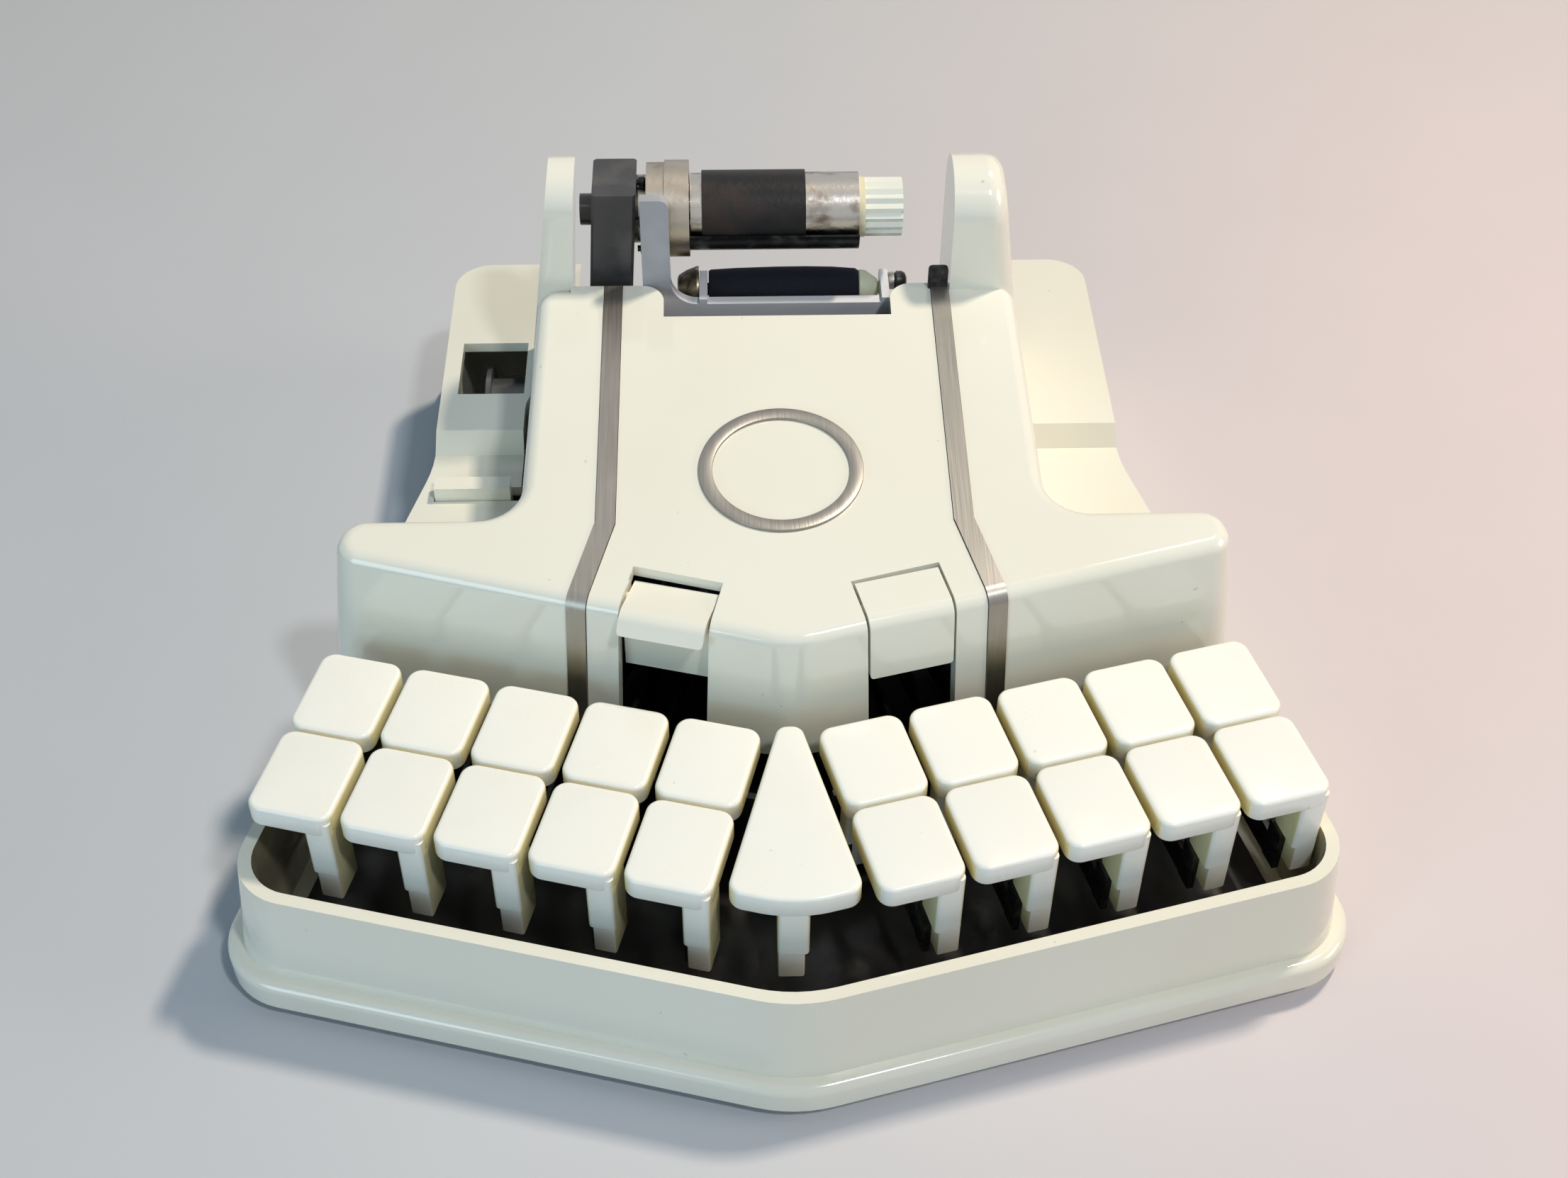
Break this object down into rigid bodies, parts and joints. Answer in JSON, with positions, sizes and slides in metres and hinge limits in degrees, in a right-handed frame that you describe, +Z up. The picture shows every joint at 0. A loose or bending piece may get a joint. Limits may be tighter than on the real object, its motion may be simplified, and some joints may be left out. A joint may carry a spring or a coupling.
{
  "type": "stenotype machine",
  "caption": "Desktop stenotype with two angled rows of flat keys, a middle key, a raised cover and a paper platen behind it.",
  "frame": {"origin": "centre of the bounding box at its lowest height, under the middle of the base", "axes": "+X to the typist's right, +Y from the typist towards the platen, +Z up"},
  "size_m": [0.2248, 0.2262, 0.097],
  "materials": {
    "key_caps": "glossy ivory",
    "lever_steel": "satin",
    "cream_case": "satin gloss",
    "cream_cover": "satin gloss",
    "strip_steel": "satin",
    "frame_grey": "satin",
    "block_grey": "satin",
    "chassis_black": "semi-gloss",
    "foot_rubber": "matt",
    "drum_steel": "worn",
    "sleeve_rubber": "semi-matt",
    "cream_knob": "satin gloss",
    "roller_dark": "matt",
    "spool_grey": "satin",
    "cream_tabs": "satin gloss"
  },
  "bodies": {
    "machine": {"lower_case": "cream_case", "upper_cover": "cream_cover", "trim_strips": "strip_steel", "print_frame": "frame_grey", "bearing_block": "block_grey", "paper_guide": "lever_steel", "key_shaft": "lever_steel", "chassis": "chassis_black", "return_springs": "lever_steel", "rubber_feet": "foot_rubber"},
    "key_left_1_back": {"cap_left_1_back": "key_caps", "lever_left_1_back": "lever_steel"},
    "key_left_1_front": {"cap_left_1_front": "key_caps", "lever_left_1_front": "lever_steel"},
    "key_left_2_back": {"cap_left_2_back": "key_caps", "lever_left_2_back": "lever_steel"},
    "key_left_2_front": {"cap_left_2_front": "key_caps", "lever_left_2_front": "lever_steel"},
    "key_left_3_back": {"cap_left_3_back": "key_caps", "lever_left_3_back": "lever_steel"},
    "key_left_3_front": {"cap_left_3_front": "key_caps", "lever_left_3_front": "lever_steel"},
    "key_left_4_back": {"cap_left_4_back": "key_caps", "lever_left_4_back": "lever_steel"},
    "key_left_4_front": {"cap_left_4_front": "key_caps", "lever_left_4_front": "lever_steel"},
    "key_left_5_back": {"cap_left_5_back": "key_caps", "lever_left_5_back": "lever_steel"},
    "key_left_5_front": {"cap_left_5_front": "key_caps", "lever_left_5_front": "lever_steel"},
    "key_right_1_back": {"cap_right_1_back": "key_caps", "lever_right_1_back": "lever_steel"},
    "key_right_1_front": {"cap_right_1_front": "key_caps", "lever_right_1_front": "lever_steel"},
    "key_right_2_back": {"cap_right_2_back": "key_caps", "lever_right_2_back": "lever_steel"},
    "key_right_2_front": {"cap_right_2_front": "key_caps", "lever_right_2_front": "lever_steel"},
    "key_right_3_back": {"cap_right_3_back": "key_caps", "lever_right_3_back": "lever_steel"},
    "key_right_3_front": {"cap_right_3_front": "key_caps", "lever_right_3_front": "lever_steel"},
    "key_right_4_back": {"cap_right_4_back": "key_caps", "lever_right_4_back": "lever_steel"},
    "key_right_4_front": {"cap_right_4_front": "key_caps", "lever_right_4_front": "lever_steel"},
    "key_right_5_back": {"cap_right_5_back": "key_caps", "lever_right_5_back": "lever_steel"},
    "key_right_5_front": {"cap_right_5_front": "key_caps", "lever_right_5_front": "lever_steel"},
    "key_middle": {"cap_middle": "key_caps", "lever_middle": "lever_steel"},
    "platen": {"platen_drum": "drum_steel", "platen_sleeve": "sleeve_rubber", "platen_knob": "cream_knob"},
    "ink_roller": {"ink_roller": "roller_dark"},
    "paper_spool": {"paper_spool": "spool_grey"},
    "shift_lever_left": {"shift_lever_left": "cream_tabs"},
    "shift_lever_right": {"shift_lever_right": "cream_tabs"},
    "release_key": {"release_key": "cream_tabs"}
  },
  "joints": [
    {"name": "press_left_1_back", "type": "hinge", "parent": "machine", "child": "key_left_1_back", "pos_m": [0, 0.01874, 0.043], "axis": [1, 0, 0], "range_deg": [0, 4.5], "stiffness_Nm_per_rad": 0.5, "springref_deg": -2.86},
    {"name": "press_left_1_front", "type": "hinge", "parent": "machine", "child": "key_left_1_front", "pos_m": [0, 0.01874, 0.043], "axis": [1, 0, 0], "range_deg": [0, 4.5], "stiffness_Nm_per_rad": 0.5, "springref_deg": -2.86},
    {"name": "press_left_2_back", "type": "hinge", "parent": "machine", "child": "key_left_2_back", "pos_m": [0, 0.01874, 0.043], "axis": [1, 0, 0], "range_deg": [0, 4.5], "stiffness_Nm_per_rad": 0.5, "springref_deg": -2.86},
    {"name": "press_left_2_front", "type": "hinge", "parent": "machine", "child": "key_left_2_front", "pos_m": [0, 0.01874, 0.043], "axis": [1, 0, 0], "range_deg": [0, 4.5], "stiffness_Nm_per_rad": 0.5, "springref_deg": -2.86},
    {"name": "press_left_3_back", "type": "hinge", "parent": "machine", "child": "key_left_3_back", "pos_m": [0, 0.01874, 0.043], "axis": [1, 0, 0], "range_deg": [0, 4.5], "stiffness_Nm_per_rad": 0.5, "springref_deg": -2.86},
    {"name": "press_left_3_front", "type": "hinge", "parent": "machine", "child": "key_left_3_front", "pos_m": [0, 0.01874, 0.043], "axis": [1, 0, 0], "range_deg": [0, 4.5], "stiffness_Nm_per_rad": 0.5, "springref_deg": -2.86},
    {"name": "press_left_4_back", "type": "hinge", "parent": "machine", "child": "key_left_4_back", "pos_m": [0, 0.01874, 0.043], "axis": [1, 0, 0], "range_deg": [0, 4.5], "stiffness_Nm_per_rad": 0.5, "springref_deg": -2.86},
    {"name": "press_left_4_front", "type": "hinge", "parent": "machine", "child": "key_left_4_front", "pos_m": [0, 0.01874, 0.043], "axis": [1, 0, 0], "range_deg": [0, 4.5], "stiffness_Nm_per_rad": 0.5, "springref_deg": -2.86},
    {"name": "press_left_5_back", "type": "hinge", "parent": "machine", "child": "key_left_5_back", "pos_m": [0, 0.01874, 0.043], "axis": [1, 0, 0], "range_deg": [0, 4.5], "stiffness_Nm_per_rad": 0.5, "springref_deg": -2.86},
    {"name": "press_left_5_front", "type": "hinge", "parent": "machine", "child": "key_left_5_front", "pos_m": [0, 0.01874, 0.043], "axis": [1, 0, 0], "range_deg": [0, 4.5], "stiffness_Nm_per_rad": 0.5, "springref_deg": -2.86},
    {"name": "press_right_1_back", "type": "hinge", "parent": "machine", "child": "key_right_1_back", "pos_m": [0, 0.01874, 0.043], "axis": [1, 0, 0], "range_deg": [0, 4.5], "stiffness_Nm_per_rad": 0.5, "springref_deg": -2.86},
    {"name": "press_right_1_front", "type": "hinge", "parent": "machine", "child": "key_right_1_front", "pos_m": [0, 0.01874, 0.043], "axis": [1, 0, 0], "range_deg": [0, 4.5], "stiffness_Nm_per_rad": 0.5, "springref_deg": -2.86},
    {"name": "press_right_2_back", "type": "hinge", "parent": "machine", "child": "key_right_2_back", "pos_m": [0, 0.01874, 0.043], "axis": [1, 0, 0], "range_deg": [0, 4.5], "stiffness_Nm_per_rad": 0.5, "springref_deg": -2.86},
    {"name": "press_right_2_front", "type": "hinge", "parent": "machine", "child": "key_right_2_front", "pos_m": [0, 0.01874, 0.043], "axis": [1, 0, 0], "range_deg": [0, 4.5], "stiffness_Nm_per_rad": 0.5, "springref_deg": -2.86},
    {"name": "press_right_3_back", "type": "hinge", "parent": "machine", "child": "key_right_3_back", "pos_m": [0, 0.01874, 0.043], "axis": [1, 0, 0], "range_deg": [0, 4.5], "stiffness_Nm_per_rad": 0.5, "springref_deg": -2.86},
    {"name": "press_right_3_front", "type": "hinge", "parent": "machine", "child": "key_right_3_front", "pos_m": [0, 0.01874, 0.043], "axis": [1, 0, 0], "range_deg": [0, 4.5], "stiffness_Nm_per_rad": 0.5, "springref_deg": -2.86},
    {"name": "press_right_4_back", "type": "hinge", "parent": "machine", "child": "key_right_4_back", "pos_m": [0, 0.01874, 0.043], "axis": [1, 0, 0], "range_deg": [0, 4.5], "stiffness_Nm_per_rad": 0.5, "springref_deg": -2.86},
    {"name": "press_right_4_front", "type": "hinge", "parent": "machine", "child": "key_right_4_front", "pos_m": [0, 0.01874, 0.043], "axis": [1, 0, 0], "range_deg": [0, 4.5], "stiffness_Nm_per_rad": 0.5, "springref_deg": -2.86},
    {"name": "press_right_5_back", "type": "hinge", "parent": "machine", "child": "key_right_5_back", "pos_m": [0, 0.01874, 0.043], "axis": [1, 0, 0], "range_deg": [0, 4.5], "stiffness_Nm_per_rad": 0.5, "springref_deg": -2.86},
    {"name": "press_right_5_front", "type": "hinge", "parent": "machine", "child": "key_right_5_front", "pos_m": [0, 0.01874, 0.043], "axis": [1, 0, 0], "range_deg": [0, 4.5], "stiffness_Nm_per_rad": 0.5, "springref_deg": -2.86},
    {"name": "press_middle", "type": "hinge", "parent": "machine", "child": "key_middle", "pos_m": [0, 0.01874, 0.043], "axis": [1, 0, 0], "range_deg": [0, 4.5], "stiffness_Nm_per_rad": 0.5, "springref_deg": -2.86},
    {"name": "platen_turn", "type": "hinge", "parent": "machine", "child": "platen", "pos_m": [0, 0.06964, 0.0818], "axis": [1, 0, 0], "continuous": true},
    {"name": "ink_roller_turn", "type": "hinge", "parent": "machine", "child": "ink_roller", "pos_m": [0, 0.06524, 0.0626], "axis": [1, 0, 0], "continuous": true},
    {"name": "spool_turn", "type": "hinge", "parent": "machine", "child": "paper_spool", "pos_m": [-0.0615, 0.06974, 0.022], "axis": [1, 0, 0], "continuous": true},
    {"name": "shift_left", "type": "hinge", "parent": "machine", "child": "shift_lever_left", "pos_m": [-0.02275, -0.03237, 0.0585], "axis": [0.9673, -0.2538, 0], "range_deg": [0, 12]},
    {"name": "shift_right", "type": "hinge", "parent": "machine", "child": "shift_lever_right", "pos_m": [0.02275, -0.03237, 0.0585], "axis": [0.9673, 0.2538, 0], "range_deg": [-12, 0]},
    {"name": "release_press", "type": "slide", "parent": "machine", "child": "release_key", "axis": [0, 0, -1], "range_m": [0, 0.0025], "stiffness_N_per_m": 400, "springref_m": -0.0003}
  ]
}
